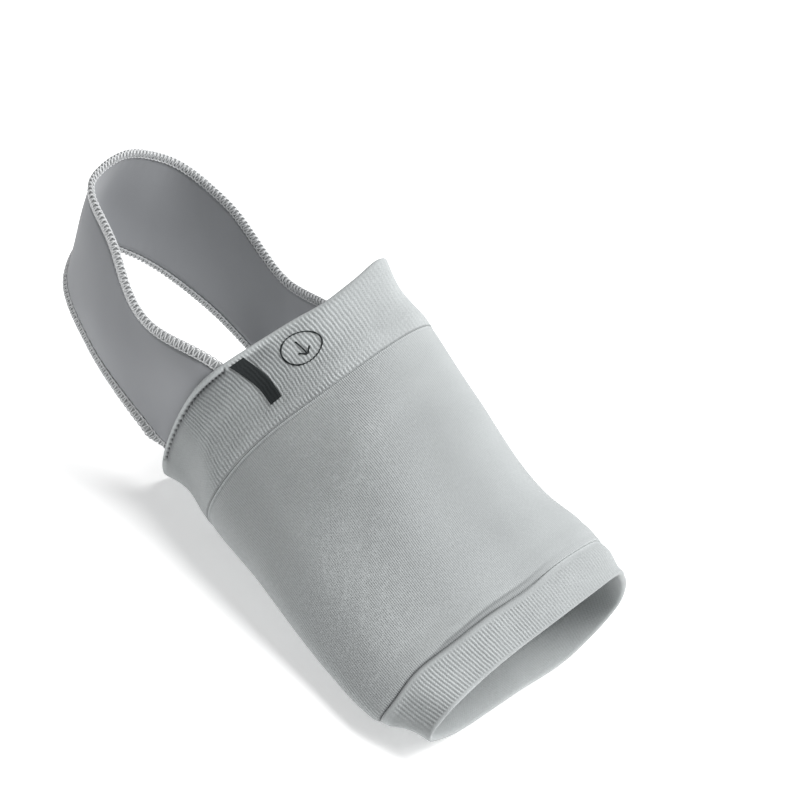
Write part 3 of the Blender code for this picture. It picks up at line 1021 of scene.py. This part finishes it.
def makeOverlock(materials, face, inward, along, stations):
    core = face + 0.5 * strap["wall"] * inward
    pieces = []
    reach = strap["edgingGap"] + strap["edging"]
    free = (stations > along[2] - overlock["tuck"]) & (stations < along[-3] + overlock["tuck"])
    # name, column, side, curl and how much of it is satin
    lower = ("strapEdgingLower", 0, -1, overlock["curl"][0], 0.0)
    upper = ("strapEdgingUpper", -1, 1, overlock["curl"][1], 1.0)
    for name, column, side, curl, satin in (lower, upper):
        edge = core[:, column]
        flat = side * unit(np.cross(inward[:, column], np.gradient(edge, axis=0)))
        # the edges lie flat where they go in under the welt
        fromWelt = np.minimum(stations - along[2], along[-3] - stations)
        turn = radians(curl) * smoothStep(0.0, 12.0, fromWelt)[:, None]
        out = flat * np.cos(turn) - inward[:, column] * np.sin(turn)
        normal = -inward[:, column] * np.cos(turn) - flat * np.sin(turn)
        centre = edge + reach * out
        parts = overlockParts(centre[free], out[free], normal[free], 1.0, (1.0, 0.6), satin)
        pieces.append(makePiece(name, parts, materials))
    size = strap["endSeam"] / strap["edging"]
    reach = strap["edgingGap"] + strap["endSeam"]
    sunk = strap["endSeam"] - 0.5 * strap["wall"]
    slope = unit(np.gradient(face, axis=0))
    for name, row, side in (("strapEndSeamOuter", 0, -1), ("strapEndSeamInner", -1, 1)):
        out = side * slope[row]
        centre = core[row] + reach * out + sunk * inward[row]
        parts = overlockParts(centre, out, -inward[row], size, (0.0, 0.0))
        pieces.append(makePiece(name, parts, materials))
    return pieces


# Arch pad: a silicone oval inside the sole, domed inward
pad = {
    "centre": (62.0, 0.875),     # run and fraction
    "halfLength": 47.0,
    "halfWidth": 28.0,
    "turn": 6.0,             # degrees
    "rim": 1.2,
    "height": 6.5,
    "flange": 0.9,           # share of the radius inside the flat rim
    "gap": 0.5,
    "spokes": 144,
}


def makeArchPad(material):
    radii = np.concatenate([np.linspace(0.03, 0.84, 22), np.linspace(0.86, 0.985, 9)])
    rows = []
    for radius in radii:
        dome = max(0.0, 1.0 - (radius / pad["flange"]) ** 2) ** 0.85
        ridge = 0.25 * bump(radius, 0.955, 0.02)
        rows.append((radius, pad["rim"] + (pad["height"] - pad["rim"]) * dome + ridge))
    rows += [(0.995, 0.9 * pad["rim"]), (1.0, 0.6 * pad["rim"]), (1.0, 0.3 * pad["rim"]), (0.99, 0.05)]
    rows += [(radius, 0.0) for radius in (0.95, 0.8, 0.6, 0.4, 0.2, 0.03)]
    turn = radians(pad["turn"])
    angles = anglesRound(pad["spokes"])
    radius, height = np.array(rows).T[:, :, None]
    a = pad["halfLength"] * radius * np.cos(angles)
    b = pad["halfWidth"] * radius * np.sin(angles)
    runs = pad["centre"][0] + a * cos(turn) - b * sin(turn)
    fractions = pad["centre"][1] + (a * sin(turn) + b * cos(turn)) / form["girth"]
    lifts = np.broadcast_to(-pad["gap"] - height, runs.shape)
    rings = formAt(runs.ravel(), fractions.ravel(), lifts.ravel()).reshape(*runs.shape, 3)
    part = sweep(rings, False, flatMap(np.linspace(0, 60, len(rows)), np.linspace(0, 200, len(angles) + 1)))
    return makePiece("archGelPad", [part], [material])


def formAt(runs, fractions, lifts, cells=400):
    # single points over the form, read from a grid of it: a row each mm, and cells round the girth
    runGrid = np.arange(runs.min() - 1.0, runs.max() + 2.0, 1.0)
    columns = np.arange(np.floor(fractions.min() * cells) - 2, np.ceil(fractions.max() * cells) + 3)
    base = clothPoints(runGrid, columns / cells, 0.0)
    normals = clothPoints(runGrid, columns / cells, 1.0) - base
    i = runs - runGrid[0]
    j = fractions * cells - columns[0]
    i0 = np.floor(i).astype(int)
    j0 = np.floor(j).astype(int)
    ti = (i - i0)[:, None]
    tj = (j - j0)[:, None]
    blended = []
    for grid in (base, normals):
        near = grid[i0, j0] * (1 - tj) + grid[i0, j0 + 1] * tj
        far = grid[i0 + 1, j0] * (1 - tj) + grid[i0 + 1, j0 + 1] * tj
        blended.append(near * (1 - ti) + far * ti)
    return blended[0] + lifts[:, None] * unit(blended[1])


# Black size bar and the round mark, printed on the ribs
bar = {
    "start": 1.3,
    "length": 17.5,
    "width": (4.75, 4.0),    # at the rear and at its far end
    "girths": ((0.0, 78.35), (2.0, 78.6), (6.8, 78.75), (10.5, 78.8), (14.0, 79.15), (17.5, 79.8)),
    "lift": 0.06,
    "thick": 0.16,
    "sag": 0.25,             # how far the thick print sinks between the ribs
}
mark = {
    "run": 9.55,
    "fraction": 0.4102,
    "alongRadius": 5.7,
    "roundRadius": 6.3,
    "line": 0.52,
    "lift": 0.07,
    "thick": 0.10,
    "arrow": 6.4,            # length of the plain arrow inside, toward the toe welt
    "barb": (2.3, 2.0),      # how far its barbs reach back and to the sides
}


def printedStrip(path, halfWidths, lift, thick, closed, across=5, sag=1.0, square=False):
    # a flat line of print. path holds (run, girth mm) points, and it lies on the ribs
    path = np.asarray(path, float)
    tangent = np.gradient(path, axis=0)
    if closed:
        tangent = np.roll(path, -1, axis=0) - np.roll(path, 1, axis=0)
    tangent = unit(tangent)
    side = np.column_stack([-tangent[:, 1], tangent[:, 0]])
    if square:
        side = np.tile((0.0, 1.0), (len(path), 1))
    t = np.linspace(-1, 1, across)
    place = path[:, None, :] + (halfWidths[:, None] * t[None, :])[:, :, None] * side[:, None, :]
    runs = place[:, :, 0].ravel()
    fractions = place[:, :, 1].ravel() / form["girth"]
    relief = sag * np.array([instepRelief([r], [f])[0, 0] for r, f in zip(runs, fractions)])
    top = formAt(runs, fractions, instep["wall"] + relief + lift + thick).reshape(len(path), across, 3)
    under = formAt(runs, fractions, instep["wall"] + relief + lift).reshape(len(path), across, 3)
    rings = np.concatenate([top, under[:, ::-1]], axis=1)
    loop = np.concatenate([place, place[:, ::-1], place[:, :1]], axis=1)
    cloth = loop[:, :, ::-1]
    if closed:
        cloth = np.concatenate([cloth, cloth[:1]], axis=0)
    return sweep(rings, closed, cloth)


def makeSizeBar(material):
    runs = np.linspace(bar["start"], bar["start"] + bar["length"], 64)
    at, round_ = np.array(bar["girths"]).T
    girths = smoothRows(at, round_[:, None], runs - bar["start"])[:, 0]
    half = 0.5 * np.linspace(*bar["width"], len(runs))
    path = np.column_stack([runs, girths])
    part = printedStrip(path, half, bar["lift"], bar["thick"], False, 32, bar["sag"], True)
    return makePiece("sizeBar", [part], [material])


def makeRoundMark(material):
    middle = np.array([mark["run"], mark["fraction"] * form["girth"]])
    angles = anglesRound(180)
    ring = np.column_stack([np.cos(angles), np.sin(angles)])
    ring = middle + ring * (mark["alongRadius"], mark["roundRadius"])
    line = 0.5 * mark["line"]
    # the print is thin where the ring crosses the ribs
    girth = instepGirth(ring[:, 0], ring[:, 1] / form["girth"])
    broken = np.cos(angles) ** 4 * (0.5 - 0.5 * np.cos(2 * pi * girth * instep["ribs"] / form["girth"]))
    worn = line * (1.0 + 0.12 * np.sin(angles * 7.0) - 0.65 * broken)
    parts = [printedStrip(ring, worn, mark["lift"], mark["thick"], True)]
    half = 0.5 * mark["arrow"]
    shaft = middle + np.column_stack([np.linspace(-half, half, 30), np.zeros(30)])
    parts.append(printedStrip(shaft, np.full(30, line), mark["lift"], mark["thick"], False))
    for side in (1, -1):
        t = np.linspace(0.06, 1.0, 16)
        barb = middle + np.column_stack([half - mark["barb"][0] * t, side * mark["barb"][1] * t])
        parts.append(printedStrip(barb, np.full(16, line), mark["lift"], mark["thick"], False))
    return makePiece("roundMark", parts, [material])


# Making the pieces
jersey = jerseyMaterial("greyJersey", colours["knit"], 1.0, knit["melange"])
# both welts are the same grey rib; the instep's is painted lighter and the toe's a little: painted light
instepRib = ribMaterial("greyRibInstep", form["girth"] / instep["ribs"], 1.13)
toeRib = ribMaterial("greyRibToe", form["girth"] / toe["ribs"], 1.05)
# painted shade: the strap's colour is set darker than the body's same cloth
shadedStrapCloth = jerseyMaterial("shadedStrapCloth", colours["strap"], 0.2, 0.10)
# painted light: the cut edge under the threads is coloured lighter than the strap
edgeShade = jerseyMaterial("edgeShade", colours["underThreadPaintedLight"], 0.6, 0.15)
thread = threadMaterial()
silicone = siliconeMaterial()
blackPrint = printMaterial(form["girth"] / instep["ribs"])
print("materials made")

instepWelt = makeInstepWelt(instepRib)
sleeveBody = makeSleeveBody(jersey)
toeWelt = makeToeWelt(toeRib)
face, inward, stations, along = strapFace()
heelStrap = makeHeelStrap(shadedStrapCloth, face, inward, stations)
edgings = makeOverlock([thread, edgeShade], face, inward, along, stations)
archPad = makeArchPad(silicone)
sizeBar = makeSizeBar(blackPrint)
roundMark = makeRoundMark(blackPrint)

standsFor = (
    (instepWelt, "instep_welt", "grey_rib"),
    (sleeveBody, "sleeve_body", "grey_jersey"),
    (toeWelt, "toe_welt", "grey_rib"),
    (heelStrap, "heel_strap", "strap_cloth"),
    (edgings[0], "strap_edging_lower", "pale_thread"),
    (edgings[1], "strap_edging_upper", "pale_thread"),
    (edgings[2], "strap_end_seam_outer", "pale_thread"),
    (edgings[3], "strap_end_seam_inner", "pale_thread"),
    (archPad, "arch_gel_pad", "arch_silicone"),
    (sizeBar, "size_bar", "black_print"),
)
for piece, node, slot in standsFor:
    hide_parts(node)
    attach(piece, "root")
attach(roundMark, "root")


# Floor, light and camera
light = {
    "world": 0.27,
    "floorHalf": 6.0,        # m
    "floorDrop": 0.0004,     # m, under the lowest point
    "floorGlow": 0.36,       # keeps the floor near white, with faint shadows
    "back": (150.0, 65.0, 1.3, 1.1, 13.2),   # azimuth, elevation, distance, size, power
    "side": (120.0, 55.0, 1.3, 1.1, 10.2),
}


def direction(azimuth, elevation):
    # azimuth 0 stands in front of the outer side, 90 in front of the toe welt
    a = radians(azimuth)
    e = radians(elevation)
    return Vector((sin(a) * cos(e), -cos(a) * cos(e), sin(e)))


def addLight(name, azimuth, elevation, distance, size, power):
    towards = direction(azimuth, elevation)
    data = bpy.data.lights.new(name, "AREA")
    data.shape = "DISK"
    data.size = size
    data.energy = power
    lamp = addObject(name, data)
    lamp.location = towards * distance
    lamp.rotation_mode = "QUATERNION"
    lamp.rotation_quaternion = towards.to_track_quat("Z", "Y")


def makeFloor():
    tree, shader, material = newMaterial("floorPaper", 0.9)
    coordinates = tree.nodes.new("ShaderNodeTexCoord").outputs["Object"]
    mottle = speckle(tree, coordinates, 3.0)
    paper = colourBetween(tree, mottle, *colours["floor"])
    tree.links.new(paper, shader.inputs["Base Color"])
    shader.inputs["Emission Color"].default_value = (1.0, 1.0, 1.0, 1.0)
    shader.inputs["Emission Strength"].default_value = light["floorGlow"]
    size = light["floorHalf"]
    height = cadLow.z - light["floorDrop"]
    mesh = bpy.data.meshes.new("floor")
    corners = [(-size, -size, height), (size, -size, height), (size, size, height), (-size, size, height)]
    mesh.from_pydata(corners, [], [(0, 1, 2, 3)])
    mesh.materials.append(material)
    addObject("floor", mesh)


def makeLight():
    world = bpy.data.worlds.new("studio")
    world.use_nodes = True
    backdrop = world.node_tree.nodes["Background"]
    backdrop.inputs["Color"].default_value = (1.0, 1.0, 1.0, 1.0)
    backdrop.inputs["Strength"].default_value = light["world"]
    bpy.context.scene.world = world
    addLight("backLight", *light["back"])
    addLight("sideLight", *light["side"])


camera = {
    "azimuth": 27.3,
    "elevation": 33.2,
    "roll": 21.9,
    "distance": 902.0,
    "target": (-5.0, 0.0, 30.0),
    "targetPixel": (373.0, 475.8),
    "imageSize": 800,
    "focalPixels": 3000.0,
    "sensor": 36.0,          # mm
}


def makeCamera():
    a = radians(camera["azimuth"])
    roll = radians(camera["roll"])
    back = direction(camera["azimuth"], camera["elevation"])
    right = Vector((cos(a), sin(a), 0.0))
    up = back.cross(right)
    turnedRight = right * cos(roll) + up * sin(roll)
    turnedUp = up * cos(roll) - right * sin(roll)
    # turn the lens a little, so that the target falls on its place in the picture
    half = camera["imageSize"] / 2
    x = (half - camera["targetPixel"][0]) / camera["focalPixels"]
    y = (camera["targetPixel"][1] - half) / camera["focalPixels"]
    lensBack = (back - x * turnedRight - y * turnedUp).normalized()
    lensRight = (turnedRight - lensBack * turnedRight.dot(lensBack)).normalized()
    lensAxes = Matrix((lensRight, lensBack.cross(lensRight), lensBack)).transposed()
    data = bpy.data.cameras.new("camera")
    data.sensor_width = camera["sensor"]
    data.lens = camera["focalPixels"] / camera["imageSize"] * camera["sensor"]
    data.clip_start = 0.05
    data.clip_end = 20.0
    view = addObject("camera", data)
    place = Vector(camera["target"]) * mm + back * camera["distance"] * mm
    view.matrix_world = Matrix.Translation(place) @ lensAxes.to_4x4()
    bpy.context.scene.camera = view


makeFloor()
makeLight()
makeCamera()
bpy.context.scene.view_settings.view_transform = "Standard"
print("floor, light and camera made")
